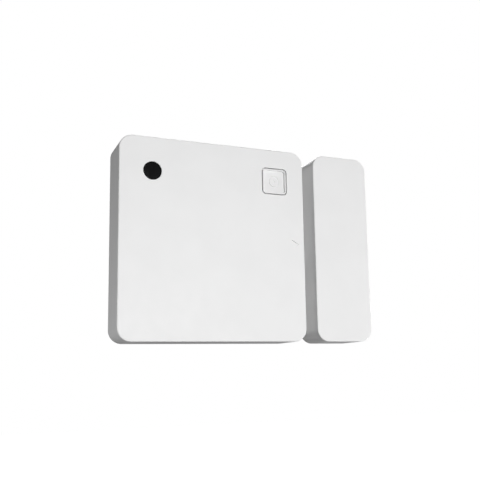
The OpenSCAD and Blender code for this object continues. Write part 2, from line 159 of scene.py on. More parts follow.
def ring(half_w, half_h, radius, level, centre, along=0):
    """Rounded rectangle at a level, or a circle where both halves equal the radius.
    along is the number of extra points on each straight side."""
    corners = []
    for quarter, (side_x, side_z) in enumerate(((1, 1), (-1, 1), (-1, -1), (1, -1))):
        middle_x = centre[0] + side_x * (half_w - radius)
        middle_z = centre[1] + side_z * (half_h - radius)
        corners.append([
            Vector((middle_x + radius * math.cos(angle), -level, middle_z + radius * math.sin(angle)))
            for angle in (math.pi / 2 * quarter + turn for turn in quarter_arc())
        ])
    points = []
    for quarter in range(4):
        end = corners[quarter][-1]
        start = corners[(quarter + 1) % 4][0]
        points += corners[quarter]
        points += [end.lerp(start, (i + 1) / (along + 1)) for i in range(along)]
    return points


def circle(radius, level, centre, count=HOOP_STEPS):
    return [
        Vector((centre[0] + radius * math.cos(TURN * i / count), -level,
                centre[1] + radius * math.sin(TURN * i / count)))
        for i in range(count)
    ]


def shade_smooth(work, smooth_angle):
    """Shades a bmesh smooth across edges that turn less than an angle."""
    limit = math.radians(smooth_angle)
    for face in work.faces:
        face.smooth = True
    for edge in work.edges:
        edge.smooth = len(edge.link_faces) == 2 and edge.calc_face_angle(math.pi) < limit


def put_in_scene(name, data):
    made = bpy.data.objects.new(name, data)
    bpy.context.scene.collection.objects.link(made)
    return made


class Piece:
    """Closed solids, drawn in millimetres, that become one object."""

    def __init__(self, name):
        self.name = name
        self.work = bmesh.new()

    def skin(self, rings):
        """Solid through rings that have equally many points, capped at both ends."""
        count = len(rings[0])
        rows = [[self.work.verts.new(point) for point in row] for row in rings]
        for low, high in zip(rows, rows[1:]):
            for i in range(count):
                j = (i + 1) % count
                self.work.faces.new((low[i], low[j], high[j], high[i]))
        self.work.faces.new(rows[0])
        self.work.faces.new(rows[-1])
        bmesh.ops.remove_doubles(self.work, verts=[v for row in rows for v in row], dist=WELD)

    def prism(self, outline, shift):
        self.skin([outline, [point + shift for point in outline]])

    def block(self, box, bevel=0.0, segments=2):
        place = Matrix.Translation(box.centre) @ Matrix.Diagonal((*box.size, 1))
        made = bmesh.ops.create_cube(self.work, size=1, matrix=place)
        if bevel > 0:
            edges = list({edge: None for vert in made["verts"] for edge in vert.link_edges})
            bmesh.ops.bevel(self.work, geom=edges, offset=bevel, segments=segments,
                            affect="EDGES", profile=0.5)

    def ribbon(self, path, side, breadth, depth):
        """Strip along a bent path. breadth is across the path, depth is along side."""
        rings = []
        for i, point in enumerate(path):
            after = (path[min(i + 1, len(path) - 1)] - path[min(i, len(path) - 2)]).normalized()
            before = (path[max(i, 1)] - path[max(i - 1, 0)]).normalized()
            across = side.cross((before + after).normalized()).normalized()
            mitre = across * (breadth / 2 / across.dot(side.cross(after)))
            rise = side * depth / 2
            rings.append([point + mitre + rise, point - mitre + rise,
                          point - mitre - rise, point + mitre - rise])
        self.skin(rings)

    def build(self, slot, look=None, replaces=(), smooth_angle=35, body="sensor_body"):
        """Makes the object, gives it its material and lets it ride on a body."""
        bmesh.ops.recalc_face_normals(self.work, faces=self.work.faces)
        shade_smooth(self.work, smooth_angle)
        for vert in self.work.verts:
            vert.co *= MM
        mesh = bpy.data.meshes.new(self.name)
        self.work.to_mesh(mesh)
        self.work.free()
        piece = put_in_scene(self.name, mesh)
        dress(piece, look or slot)
        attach(piece, body)
        if replaces:
            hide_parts(*replaces)
        return piece


def smooth_cad(node, smooth_angle=30):
    """Shades a CAD node smooth below an angle. Its points stay where they are."""
    mesh = nodes[node].data
    places = {}
    for polygon in mesh.polygons:
        for loop in polygon.loop_indices:
            point = mesh.vertices[mesh.loops[loop].vertex_index].co
            key = tuple(round(c, SAME_PLACE_DIGITS) for c in point)
            places.setdefault(key, []).append((polygon.index, loop))
    limit = math.cos(math.radians(smooth_angle))
    normals = [None] * len(mesh.loops)
    for meeting in places.values():
        for index, loop in meeting:
            own = mesh.polygons[index].normal
            total = Vector()
            for other, _ in meeting:
                neighbour = mesh.polygons[other]
                if own.dot(neighbour.normal) > limit:
                    total += neighbour.normal * neighbour.area
            normals[loop] = total.normalized() if total.length > 0 else own
    for polygon in mesh.polygons:
        polygon.use_smooth = True
    mesh.normals_split_custom_set([tuple(n) for n in normals])


# ---------------------------------------------------------------- materials

class Look:
    """One procedural material on a Principled shader. Its texture space is in millimetres."""

    def __init__(self, name, colour, roughness, metallic=0.0, specular=0.5):
        self.material = bpy.data.materials.new(name)
        self.material.use_nodes = True
        self.tree = self.material.node_tree
        self.link = self.tree.links.new
        self.shader = self.tree.nodes["Principled BSDF"]
        self.shader.inputs["Base Color"].default_value = (*colour, 1)
        self.shader.inputs["Roughness"].default_value = roughness
        self.shader.inputs["Metallic"].default_value = metallic
        self.shader.inputs["Specular IOR Level"].default_value = specular
        self.base = colour
        self.place = self.tree.nodes.new("ShaderNodeTexCoord").outputs["Object"]
        self.normal = None

    def add(self, kind, **inputs):
        node = self.tree.nodes.new(kind)
        for name, value in inputs.items():
            self.feed(node.inputs[name.replace("_", " ")], value)
        return node

    def feed(self, socket, value):
        if isinstance(value, bpy.types.NodeSocket):
            self.link(value, socket)
        else:
            socket.default_value = value

    def spot(self, scale=(1, 1, 1), turn=(0, 0, 0), origin=(0, 0, 0)):
        """Texture coordinates in millimetres, after a stretch, a turn and a move of the origin."""
        moved = self.add("ShaderNodeMapping", Vector=self.place,
                         Location=[-c / MM for c in origin], Scale=[1 / MM] * 3)
        if scale == (1, 1, 1) and turn == (0, 0, 0):
            return moved.outputs[0]
        return self.add("ShaderNodeMapping", Vector=moved.outputs[0], Rotation=turn,
                        Scale=scale).outputs[0]

    def noise(self, grain, detail=2.0, rough=0.5, stretch=(1, 1, 1)):
        """Noise whose features are about grain millimetres across."""
        return self.add("ShaderNodeTexNoise", Vector=self.spot(stretch), Scale=1 / grain,
                        Detail=detail, Roughness=rough).outputs["Fac"]

    def cells(self, grain):
        return self.add("ShaderNodeTexVoronoi", Vector=self.spot(),
                        Scale=1 / grain).outputs["Distance"]

    def spread(self, value, low, high, start=0.3, end=0.7):
        node = self.add("ShaderNodeMapRange", Value=value)
        for name, number in (("From Min", start), ("From Max", end),
                             ("To Min", low), ("To Max", high)):
            node.inputs[name].default_value = number
        return node.outputs["Result"]

    def join(self, operation, first, second=None):
        node = self.tree.nodes.new("ShaderNodeMath")
        node.operation = operation
        self.link(first, node.inputs[0])
        if second is not None:
            self.link(second, node.inputs[1])
        return node.outputs[0]

    def mix(self, factor, first, second):
        """Colour or socket first where factor is 0, second where it is 1."""
        node = self.tree.nodes.new("ShaderNodeMix")
        node.data_type = "RGBA"
        self.link(factor, node.inputs["Factor"])
        for socket, value in ((node.inputs[6], first), (node.inputs[7], second)):
            self.feed(socket, (*value, 1) if isinstance(value, tuple) else value)
        return node.outputs[2]

    def colour(self, socket):
        self.link(socket, self.shader.inputs["Base Color"])

    def shaded(self, factor):
        """The base colour, darker or lighter by a factor."""
        return tuple(min(1.0, c * factor) for c in self.base)

    def tint(self, value, dark, light, start=0.3, end=0.7):
        """Colour between two shades of the base colour, by a value."""
        share = self.spread(value, 0, 1, start, end)
        self.colour(self.mix(share, self.shaded(dark), self.shaded(light)))

    def rough(self, value, low, high):
        self.link(self.spread(value, low, high), self.shader.inputs["Roughness"])

    def soften(self, radius):
        """Shades sharp edges as if they were rounded by a radius in millimetres."""
        edges = self.add("ShaderNodeBevel", Radius=radius * MM)
        edges.samples = 4
        self.normal = edges.outputs["Normal"]
        self.link(self.normal, self.shader.inputs["Normal"])

    def bump(self, value, depth, strength=1.0):
        """Relief of the given depth in millimetres, on top of any before it."""
        node = self.add("ShaderNodeBump", Height=value, Distance=depth * MM, Strength=strength)
        if self.normal is not None:
            self.link(self.normal, node.inputs["Normal"])
        self.normal = node.outputs["Normal"]
        self.link(self.normal, self.shader.inputs["Normal"])


def moulded(name, colour, roughness, grain=0.16, depth=0.0016, mottle=0.012, edge_r=0.05):
    """Injection-moulded plastic: spark-eroded grain, flow mottling and slightly uneven gloss."""
    look = Look(name, colour, roughness, specular=0.4)
    look.soften(edge_r)
    flow = look.noise(7.0, 2)
    look.tint(flow, 1 - mottle, 1 + mottle)
    look.rough(look.noise(1.1, 3), roughness - 0.05, roughness + 0.05)
    look.bump(look.noise(grain, 2, 0.6), depth)
    look.bump(look.noise(9.0, 1), depth * 2)
    return look


def polished(name, colour, roughness, specular=0.3):
    """Glossy tinted plastic with faint wipe marks."""
    look = Look(name, colour, roughness, specular=specular)
    wipe = look.noise(0.5, 4, 0.6, stretch=(1, 1, 0.25))
    look.rough(wipe, roughness, roughness + 0.12)
    look.tint(look.noise(0.8, 3), 0.8, 1.25)
    look.bump(look.noise(0.9, 1), 0.0008)
    return look


def rubbery(name, colour, roughness):
    """Matt moulded rubber with a fine grain."""
    look = Look(name, colour, roughness, specular=0.3)
    look.tint(look.noise(0.6, 3), 0.8, 1.3)
    look.rough(look.noise(0.3, 3), roughness - 0.08, roughness + 0.08)
    look.bump(look.noise(0.08, 2), 0.004)
    return look


def foam(name, colour):
    """Closed-cell foam tape: small cells of two sizes under an uneven film of glue."""
    look = Look(name, colour, 0.6, specular=0.35)
    cells = look.cells(0.2)
    look.tint(cells, 0.9, 1.04, 0.1, 0.75)
    look.rough(look.noise(2.5, 3), 0.42, 0.72)
    look.bump(cells, 0.025, 0.7)
    look.bump(look.cells(0.08), 0.01, 0.6)
    look.bump(look.noise(6, 2), 0.05, 0.5)
    return look


def solder_mask(name, colour):
    """Green mask over copper, solid in places and hatched elsewhere. The cut edge shows laminate."""
    block_w, block_h = 1.9, 2.7
    hatch_pitch, hatch_line, weave_per_mm = 0.8, 0.09, 2.4
    laminate = (0.34, 0.30, 0.14)
    look = Look(name, colour, 0.3, specular=0.45)
    look.soften(0.03)
    across = look.spot(turn=(math.pi / 2, 0, 0))
    steps = look.tree.nodes.new("ShaderNodeVectorMath")
    steps.operation = "SNAP"
    look.link(across, steps.inputs[0])
    steps.inputs[1].default_value = (block_w, block_h, 1)
    areas = look.add("ShaderNodeTexNoise", Vector=steps.outputs[0], Scale=0.16, Detail=0)
    solid = look.spread(areas.outputs["Fac"], 1, 0, 0.49, 0.5)
    diagonal = look.add("ShaderNodeMapping", Vector=across, Rotation=(0, 0, math.pi / 4))
    hatch = look.add("ShaderNodeTexBrick", Vector=diagonal.outputs[0], Scale=1,
                     Mortar_Size=hatch_line, Mortar_Smooth=0,
                     Brick_Width=hatch_pitch, Row_Height=hatch_pitch)
    hatch.offset = 0
    copper = look.join("MAXIMUM", solid, hatch.outputs["Fac"])
    weave = look.add("ShaderNodeTexChecker", Vector=across, Scale=weave_per_mm).outputs["Fac"]
    bare = look.mix(weave, look.shaded(0.66), look.shaded(0.7))
    clouds = look.spread(look.noise(0.7, 3), 0, 1)
    over_copper = look.mix(clouds, look.shaded(0.95), look.shaded(1.06))
    masked = look.mix(copper, bare, over_copper)
    normal = look.add("ShaderNodeNewGeometry").outputs["Normal"]
    out_of_face = look.add("ShaderNodeSeparateXYZ", Vector=normal).outputs["Y"]
    face = look.spread(look.join("ABSOLUTE", out_of_face), 0, 1, 0.4, 0.6)
    look.colour(look.mix(face, laminate, masked))
    look.rough(look.noise(1.5, 3), 0.26, 0.34)
    look.bump(copper, 0.01)
    look.bump(look.noise(0.5, 2), 0.003)
    return look


def metal(name, colour, roughness, grain=0.07, stretch=(1, 1, 0.06), depth=0.0006):
    """Rolled or plated metal: fine drawn lines, slightly uneven gloss and a little tarnish."""
    look = Look(name, colour, roughness, metallic=1.0)
    look.soften(0.03)
    lines = look.noise(grain, 3, 0.6, stretch=stretch)
    look.tint(look.noise(1.6, 3), 0.93, 1.04)
    look.rough(lines, roughness - 0.02, roughness + 0.03)
    look.bump(lines, depth)
    look.bump(look.noise(1.4, 2), depth * 2)
    return look


def turned_metal(name, colour, roughness, centre):
    """Cell steel, polished in fine rings about an axis along Y, with faint handling marks."""
    look = Look(name, colour, roughness, metallic=1.0)
    look.soften(0.03)
    rings = look.add("ShaderNodeTexWave", Vector=look.spot(origin=centre), Scale=4.0,
                     Distortion=1.5, Detail=3.0, Detail_Scale=2.0)
    rings.wave_type = "RINGS"
    rings.rings_direction = "Y"
    look.tint(look.noise(2.0, 3), 0.96, 1.03)
    look.rough(look.noise(0.6, 4, 0.6), roughness - 0.012, roughness + 0.018)
    look.bump(rings.outputs["Fac"], 0.0004)
    return look


def epoxy(name, colour, roughness=0.55, depth=0.003):
    """Moulded or fired component body with a fine speckle."""
    look = Look(name, colour, roughness, specular=0.35)
    look.tint(look.noise(0.09, 3), 0.7, 1.4)
    look.rough(look.noise(0.3, 3), roughness - 0.08, roughness + 0.08)
    look.bump(look.noise(0.06, 2), depth)
    return look


def felt(name, colour):
    """Pressed fibres that lie mostly one way."""
    look = Look(name, colour, 0.95, specular=0.1)
    fibres = look.noise(0.12, 4, 0.7, stretch=(1, 1, 0.3))
    look.tint(fibres, 0.8, 1.08)
    look.bump(fibres, 0.02)
    return look


def grey(level):
    return (level, level, level)


# For each material, its kind and what that function takes after the name
RECIPES = {
    "shell_plastic": (moulded, grey(0.90), 0.5),
    # The button's grey is a little darker than the shell's. This is painted shade that stands in for
    # the shade inside its sunk dish.
    "button_plastic": (moulded, grey(0.88), 0.46, 0.12, 0.001, 0.012, 0.02),
    "cover_plastic": (moulded, grey(0.84), 0.55, 0.22, 0.003),
    "window_plastic": (polished, (0.0036, 0.0036, 0.004), 0.2, 0.05),
    "black_rubber": (rubbery, grey(0.03), 0.7),
    "foam_tape": (foam, (0.74, 0.74, 0.72)),
    "solder_mask": (solder_mask, (0.015, 0.15, 0.06)),
    "gold_plate": (metal, (0.96, 0.74, 0.34), 0.34),
    "mask_copper": (epoxy, (0.05, 0.27, 0.10), 0.3, 0.001),
    "chip_black": (epoxy, (0.022, 0.022, 0.024)),
    "sensor_clear": (polished, (0.30, 0.29, 0.27), 0.15),
    "led_resin": (polished, (0.80, 0.76, 0.55), 0.3),
    "ferrite_grey": (epoxy, (0.13, 0.13, 0.14), 0.6),
    "tantalum_case": (epoxy, (0.72, 0.40, 0.07), 0.45),
    "ceramic_tan": (epoxy, (0.42, 0.29, 0.18), 0.4),
    "tinned_metal": (metal, (0.78, 0.78, 0.76), 0.34),
    "switch_ivory": (epoxy, (0.78, 0.75, 0.66), 0.5, 0.001),
    "holder_plastic": (moulded, (0.035, 0.035, 0.038), 0.45, 0.2, 0.003, 0.1),
    "spring_steel": (metal, (0.72, 0.70, 0.66), 0.33),
    "cell_steel": (turned_metal, (0.76, 0.76, 0.75), 0.36, CELL.centre * MM),
    "cell_seal": (epoxy, grey(0.25), 0.5, 0.001),
    "cathode_mix": (epoxy, grey(0.03), 0.85, 0.006),
    "separator_felt": (felt, (0.82, 0.82, 0.80)),
    "lithium_foil": (metal, (0.62, 0.62, 0.63), 0.4),
    "magnet_nickel": (metal, (0.76, 0.74, 0.71), 0.18, 0.6, (1, 1, 0.5)),
    "silk_white": (epoxy, (0.78, 0.78, 0.76), 0.6, 0.001),
    "crystal_ceramic": (epoxy, (0.24, 0.22, 0.19), 0.5, 0.002),
    "tantalum_stripe": (epoxy, (0.22, 0.08, 0.02), 0.5, 0.001),
}
LOOKS = {name: make(name, *facts) for name, (make, *facts) in RECIPES.items()}


def dress(piece, look):
    piece.data.materials.clear()
    piece.data.materials.append(LOOKS[look].material)


for part in frame["record"]["subparts"]:
    dress(nodes[part["node"]], part["material_slot"])
    smooth_cad(part["node"])


# ---------------------------------------------------------------- button and window

BUTTON_HALF = 2.35
BUTTON_R = 0.62


def make_button():
    """Button with a flat rim, a steep-sided dish, and a ring and a dot sunk in its floor."""
    box = node_box("button_cap")
    flange_half, flange_edge = box.size.x / 2, 0.08
    flange_back, flange_front = FRONT - 1.22, FRONT - 0.92
    stem_r, stem_edge = 0.7, 0.05
    edge_r, rim, lip_r, dish_slant, fillet = 0.05, 0.25, 0.03, 0.02, 0.04
    dish_floor = FRONT - 0.4
    groove_top, groove_floor = dish_floor - 0.01, dish_floor - 0.12
    ring_r, ring_w, dot_r, margin, draft = 1.1, 0.22, 0.3, 0.2, 0.015

    def rounded(half, radius, level):
        return ring(half, half, radius, level, box.spot, 6)

    def square(inset, level):
        return rounded(BUTTON_HALF - inset, BUTTON_R - 0.7 * inset, level)

    def disc(radius, level):
        return rounded(radius, radius, level)

    rings = [disc(stem_r - stem_edge, box.back), disc(stem_r, box.back + stem_edge),
             disc(stem_r, flange_back)]
    for inset, level in ((flange_edge, flange_back), (0, flange_back + flange_edge),
                         (0, flange_front - flange_edge), (flange_edge, flange_front)):
        rings.append(rounded(flange_half - inset, BUTTON_R, level))
    rings.append(square(0, flange_front))
    rings += [square(inset, FRONT - drop) for inset, drop in round_over(edge_r)]
    rings += [square(rim - drop, FRONT - inset) for inset, drop in round_over(lip_r)]
    rings += [square(rim + dish_slant + inset, dish_floor + drop)
              for inset, drop in round_over(fillet)]
    rings += [disc(radius, level) for radius, level in (
        (ring_r + margin, groove_top), (ring_r, groove_top), (ring_r - draft, groove_floor),
        (ring_r - ring_w + draft, groove_floor), (ring_r - ring_w, groove_top),
        (dot_r, groove_top), (dot_r - draft, groove_floor))]
    button = Piece("button_face")
    button.skin(rings)
    button.build("button_plastic", replaces=["button_cap"], body="button")


def make_window():
    """Round lens, faintly crowned, on the flange that holds it behind the front wall."""
    box = node_box("light_window")
    flange_r, flange_t, flange_edge = box.size.x / 2, 0.4, 0.05
    lens_r, edge_r, crown = 1.65, 0.05, 0.015
    profile = [(flange_r - flange_edge, box.back), (flange_r, box.back + flange_edge),
               (flange_r, box.back + flange_t), (lens_r, box.back + flange_t)]
    profile += [(lens_r - inset, box.front - crown - drop) for inset, drop in round_over(edge_r)]
    profile += [(lens_r * share, box.front - crown * share ** 2) for share in (0.85, 0.6, 0.3, 0.1)]
    lens = Piece("window_lens")
    lens.skin([circle(radius, level, box.spot) for radius, level in profile])
    lens.build("window_plastic", replaces=["light_window"])


# ---------------------------------------------------------------- adhesive pads and back cover

def make_pad(node, name, body):
    """Die-cut foam pad: sides that belly out a little, and a wall face that isn't quite flat."""
    box = node_box(node)
    corner_r, least_r, edge, edge_cut, belly = 1.5, 0.05, 0.08, 0.02, 0.05
    rows, along, middle_gap = 9, 22, 0.3
    unevenness, wave_per_mm = 0.03, 0.4
    ripple_depth, ripple_per_mm = 0.03, 0.9
    half_w, half_h = box.size.x / 2 - belly, box.size.z / 2 - belly
    inner_w = half_w - middle_gap
    insets = [edge_cut, edge] + [edge + inner_w * (i / rows) ** 1.3 for i in range(1, rows)]

    def outline(inset, level):
        return ring(half_w - inset, half_h - inset, max(corner_r - inset, least_r), level,
                    box.spot, along)

    wall_face = [outline(inset, box.back) for inset in reversed(insets)]
    for points in wall_face:
        for point in points:
            point.y -= unevenness * (0.5 + 0.5 * noise.noise(point * wave_per_mm))
    sides = []
    for i in range(rows):
        share = i / (rows - 1)
        level = box.back + edge + (box.size.y - 2 * edge) * share
        sides.append(outline(-belly * math.sin(math.pi * share), level))
    for points in sides:
        for point in points:
            ripple = ripple_depth * noise.noise(point * ripple_per_mm)
            point.x += ripple * (1 if point.x > box.centre.x else -1)
    pad = Piece(name)
    pad.skin(wall_face + sides + [outline(inset, box.front) for inset in insets])
    piece = pad.build("foam_tape", replaces=[node], smooth_angle=60, body=body)


COVER_FRONT = 1.9
TONGUE_T = 0.8


def add_tongue(piece, face, width, turn, slide):
    """Snap tongue that stands on a cover beside a wall. It is drawn for the right-hand wall."""
    bead_r, bead_proud, bead_end, bead_steps, tip_to_bead = 0.3, 0.06, 0.06, 24, 0.5
    gusset, gusset_up, gusset_t, overlap = 0.5, 1.1, 0.3, 0.05
    already = set(piece.work.verts)
    tip = COVER.front
    piece.block(Box((face - TONGUE_T, -tip, -width / 2),
                    (face, -COVER.back - overlap, width / 2)), 0.1)
    bead_level = tip - tip_to_bead
    middle = face - bead_r + bead_proud
    bead = [Vector((middle + bead_r * math.cos(angle), -bead_level + bead_r * math.sin(angle),
                    -width / 2 + bead_end))
            for angle in (TURN * i / bead_steps for i in range(bead_steps))]
    piece.prism(bead, Z_AXIS * (width - 2 * bead_end))
    back = face - TONGUE_T
    for side in (-0.5, 0.5):
        foot = side * (width - 0.5) - gusset_t / 2
        rib = [Vector((back + overlap, -COVER_FRONT + overlap, foot)),
               Vector((back - gusset, -COVER_FRONT + overlap, foot)),
               Vector((back + overlap, -COVER_FRONT - gusset_up, foot))]
        piece.prism(rib, Z_AXIS * gusset_t)
    place = Matrix.Rotation(turn, 4, "Y") @ Matrix.Translation((0, 0, slide))
    for vert in piece.work.verts:
        if vert not in already:
            vert.co = place @ vert.co


def add_hoop(piece, radius, width, back, front, centre):
    """Flat raised ring with softened edges."""
    inner, outer = radius - width / 2, radius + width / 2
    edge, drop = 0.05, 0.03
    profile = [(inner, back), (outer, back), (outer, front - drop), (outer - edge, front),
               (inner + edge, front), (inner, front - drop)]
    rows = []
    for i in range(HOOP_STEPS):
        angle = TURN * i / HOOP_STEPS
        rows.append([piece.work.verts.new((centre[0] + far * math.cos(angle), -level,
                                           centre[1] + far * math.sin(angle)))
                     for far, level in profile])
    for i, row in enumerate(rows):
        following = rows[(i + 1) % HOOP_STEPS]
        for k in range(len(profile)):
            m = (k + 1) % len(profile)
            piece.work.faces.new((row[k], row[m], following[m], following[k]))


def make_back_cover():
    """Cover plate with softened edges, eight snap tongues, and two raised rings under the cell."""
    half_w, half_h, corner_r, edge_r = COVER.size.x / 2, COVER.size.z / 2, 1.5, 0.12
    tongue_w, side_face, side_slide, end_face, end_slide = 4, 16.05, 9.5, 16.5, 9
    hoop_w, hoop_sunk, hoop_proud = 0.5, 0.05, 0.08
    cover = Piece("back_cover_plate")

    def outline(inset, level):
        return ring(half_w - inset, half_h - inset, corner_r - inset, level, COVER.spot, 4)

    edge = round_over(edge_r)
    rings = [outline(drop, COVER.back + inset) for inset, drop in edge]
    rings += [outline(inset, COVER_FRONT - drop) for inset, drop in edge]
    cover.skin(rings)
    for turn, face, slide in ((0, side_face, side_slide), (math.pi, side_face, side_slide),
                              (math.pi / 2, end_face, end_slide), (-math.pi / 2, end_face, end_slide)):
        for place in (-slide, slide):
            add_tongue(cover, face, tongue_w, turn, place)
    for radius in (7.6, 2.4):
        add_hoop(cover, radius, hoop_w, COVER_FRONT - hoop_sunk, COVER_FRONT + hoop_proud, CELL.spot)
    cover.build("cover_plastic", replaces=["back_cover"], body="frame_side")


# ---------------------------------------------------------------- coin cell

def make_coin_cell():
    """Can of the cell, from its stepped outer face over the rounded shoulder to the crimp."""
    radius = CELL.size.x / 2
    profile = [(8.2, 0.03), (8.32, 0.0), (9.5, 0.0), (9.62, 0.03), (9.93, 0.34), (9.985, 0.42),
               (radius, 0.52), (radius, 2.6), (9.97, 2.68), (9.88, 2.74), (9.32, 2.945), (9.25, 2.93),
               (9.25, 2.7), (9.75, 2.52), (9.75, 0.5), (9.5, 0.25)]
    can = Piece("coin_cell_shell")
    can.skin([circle(r, CELL.back + rise, CELL.spot) for r, rise in profile])
    can.build("cell_steel", replaces=["coin_cell_can"], smooth_angle=40)
    plus = Piece("cell_plus_mark")
    arm, stroke, thickness, off_centre = 1.5, 0.28, 0.1, 5.2
    arm_end = [Vector((stroke, 0, arm)), Vector((-stroke, 0, arm)), Vector((-stroke, 0, stroke))]
    middle = Vector((CELL.centre.x, -CELL.back - thickness, CELL.centre.z + off_centre))
    outline = []
    for turn in range(4):
        rotate = Matrix.Rotation(-math.pi / 2 * turn, 3, "Y")
        outline += [middle + rotate @ point for point in arm_end]
    plus.prism(outline, Y_AXIS * thickness)
    plus.build("cell_steel")


# ---------------------------------------------------------------- parts on the board

def moulded_rings(box, radius=0.1, draft=0.05, bevel=0.05, waist=0.45):
    """Rings of a moulded body that narrows away from its parting line, from the board up."""
    base, top, up = seat(box)
    height, seam, least_r = abs(top - base), 0.03, 0.02
    profile = [(draft, 0), (0, waist * height), (0, waist * height + seam)]
    profile += [(draft + inset, height - drop) for inset, drop in round_over(bevel)]
    return [
        ring(box.size.x / 2 - inset, box.size.z / 2 - inset, max(radius - inset, least_r),
             base + up * rise, box.spot)
        for inset, rise in profile
    ]


def make_package(node, name, slot, dot_r=0.0, **shape):
    """Moulded chip, with a sunk dot by its first contact if dot_r is given."""
    box = node_box(node)
    base, top, up = seat(box)
    rings = moulded_rings(box, **shape)
    if dot_r > 0:
        inset, dot_depth = 3 * dot_r, 0.04
        dot = (box.low.x + inset, box.high.z - inset)
        for radius, depth in ((dot_r, 0), (dot_r * 0.9, dot_depth)):
            rings.append(ring(radius, radius, radius, top - up * depth, dot))
    body = Piece(name)
    body.skin(rings)
    body.build(slot, replaces=[node])
    return box


def add_fillet(piece, foot, outward, across, reach, climb, width):
    """Concave wedge of solder from the board at foot up the side of a part."""
    up = Y_AXIS if foot.y > BOARD.centre.y else -Y_AXIS
    inside = foot - outward * 0.02
    outline = [inside, foot + outward * reach]
    outline += [foot + outward * reach * drop + up * climb * inset
                for inset, drop in round_over(1)[1:]]
    outline.append(inside + up * climb)
    shift = across * width
    piece.prism([point - shift / 2 for point in outline], shift)


def make_chip_parts(node, name, slot, solder, end_share=0.25):
    """Ceramic chips with tinned ends, and solder at both ends of each."""
    bodies, ends = Piece(name + "_bodies"), Piece(name + "_ends")
    solder_reach, solder_climb, solder_w = 0.22, 0.7, 0.46
    for box in solids(node):
        axis, outward, across = lie(box)
        length = box.size[axis]
        end = length * end_share
        bodies.block(box.shrunk(0.03, 0.015, 0.03), 0.03)
        ends.block(box.cut(axis, 0, end), 0.05)
        ends.block(box.cut(axis, length - end, length), 0.05)
        for side in (-1, 1):
            foot = board_point(*box.spot) + outward * side * (length / 2)
            add_fillet(solder, foot, outward * side, across,
                       solder_reach, box.size.y * solder_climb, solder_w)
    bodies.build(slot, replaces=[node])
    ends.build("tinned_metal")


CHIP_SIDES = ((X_AXIS, Z_AXIS), (Z_AXIS, X_AXIS), (-X_AXIS, Z_AXIS), (-Z_AXIS, X_AXIS))
CHIP_CONTACTS = 10
CHIP_PITCH = 0.45


def chip_contacts(box, gap=0.0):
    """(point a gap off the chip's side, direction out of it, direction along it) for each contact."""
    for outward, across in CHIP_SIDES:
        for i in range(CHIP_CONTACTS):
            foot = (board_point(*box.spot) + outward * (box.size.x / 2 + gap)
                    + across * (i - (CHIP_CONTACTS - 1) / 2) * CHIP_PITCH)
            yield foot, outward, across


def make_radio_chip(solder):
    box = make_package("radio_chip", "radio_chip_body", "chip_black", dot_r=0.25,
                       radius=0.12, draft=0.0, bevel=0.05)
    contacts = Piece("radio_chip_contacts")
    half_t, width, tall, sunk = 0.06, 0.22, 0.2, 0.045
    for foot, outward, across in chip_contacts(box):
        half = outward * half_t + across * width / 2 + Y_AXIS * tall / 2
        half = Vector([abs(c) for c in half])
        middle = foot + Y_AXIS * tall / 2 - outward * sunk
        contacts.block(Box(middle - half, middle + half), 0.015, 1)
        add_fillet(solder, foot, outward, across, 0.28, 0.16, width)
    contacts.build("tinned_metal")


def make_crystal(node, solder):
    """Metal lid on a ceramic base with four corner contacts."""
    box = node_box(node)
    base_t, lid_inset, lid_r, lid_edge, flange, flange_t = 0.2, 0.15, 0.3, 0.1, 0.05, 0.05
    foot = Piece(node + "_base")
    base = Box(box.low, (box.high.x, box.low.y + base_t, box.high.z))
    foot.skin(moulded_rings(base, 0.12, 0.0, 0.02))
    foot.build("ferrite_grey", look="crystal_ceramic", replaces=[node])
    lid = Piece(node + "_lid")
    half_w, half_h = box.size.x / 2 - lid_inset, box.size.z / 2 - lid_inset
    profile = [(-flange, base_t), (-flange, base_t + flange_t), (0, base_t + flange_t + 0.02)]
    profile += [(inset, box.size.y - drop) for inset, drop in round_over(lid_edge)]
    lid.skin([ring(half_w - inset, half_h - inset, lid_r - max(inset, 0), box.front - rise, box.spot)
              for inset, rise in profile])
    lid.build("tinned_metal")
    for side_x in (-1, 1):
        for side_z in (-1, 1):
            corner = board_point(box.centre.x + side_x * box.size.x / 2,
                                 box.centre.z + side_z * (box.size.z / 2 - 0.3))
            add_fillet(solder, corner, X_AXIS * side_x, Z_AXIS, 0.25, 0.15, 0.5)


def make_buffer_capacitor(solder):
    """Moulded capacitor whose flat leads fold down its ends and under it."""
    box = node_box("buffer_capacitor")
    lead_t, lead_w, tucked_in, tucked_under = 0.12, 2.0, 0.2, 0.8
    inner = box.shrunk(0, 0, 0.15)
    body = Piece("buffer_capacitor_body")
    body.skin(moulded_rings(inner, 0.2, 0.1, 0.08, 0.5))
    body.build("tantalum_case", replaces=["buffer_capacitor"])
    band = Piece("buffer_capacitor_stripe")
    stripe = inner.cut(2, inner.size.z - 0.75, inner.size.z - 0.25).shrunk(0.16, 0, 0)
    stripe_sunk, stripe_proud = 0.03, 0.012
    band.block(Box((stripe.low.x, box.high.y - stripe_sunk, stripe.low.z),
                   (stripe.high.x, box.high.y + stripe_proud, stripe.high.z)), 0.01, 1)
    band.build("tantalum_case", look="tantalum_stripe")
    leads = Piece("buffer_capacitor_leads")
    bottom = box.low.y + lead_t / 2
    for side in (-1, 1):
        end = box.centre.z + side * (box.size.z / 2 - lead_t / 2)
        path = [Vector((box.centre.x, y, z)) for y, z in (
            (box.centre.y, end - side * tucked_in), (box.centre.y, end),
            (bottom, end), (bottom, end - side * tucked_under))]
        leads.ribbon(path, X_AXIS, lead_t, lead_w)
        foot = board_point(box.centre.x, box.centre.z + side * box.size.z / 2)
        add_fillet(solder, foot, Z_AXIS * side, X_AXIS, 0.4, 0.6, lead_w)
    leads.build("tinned_metal")


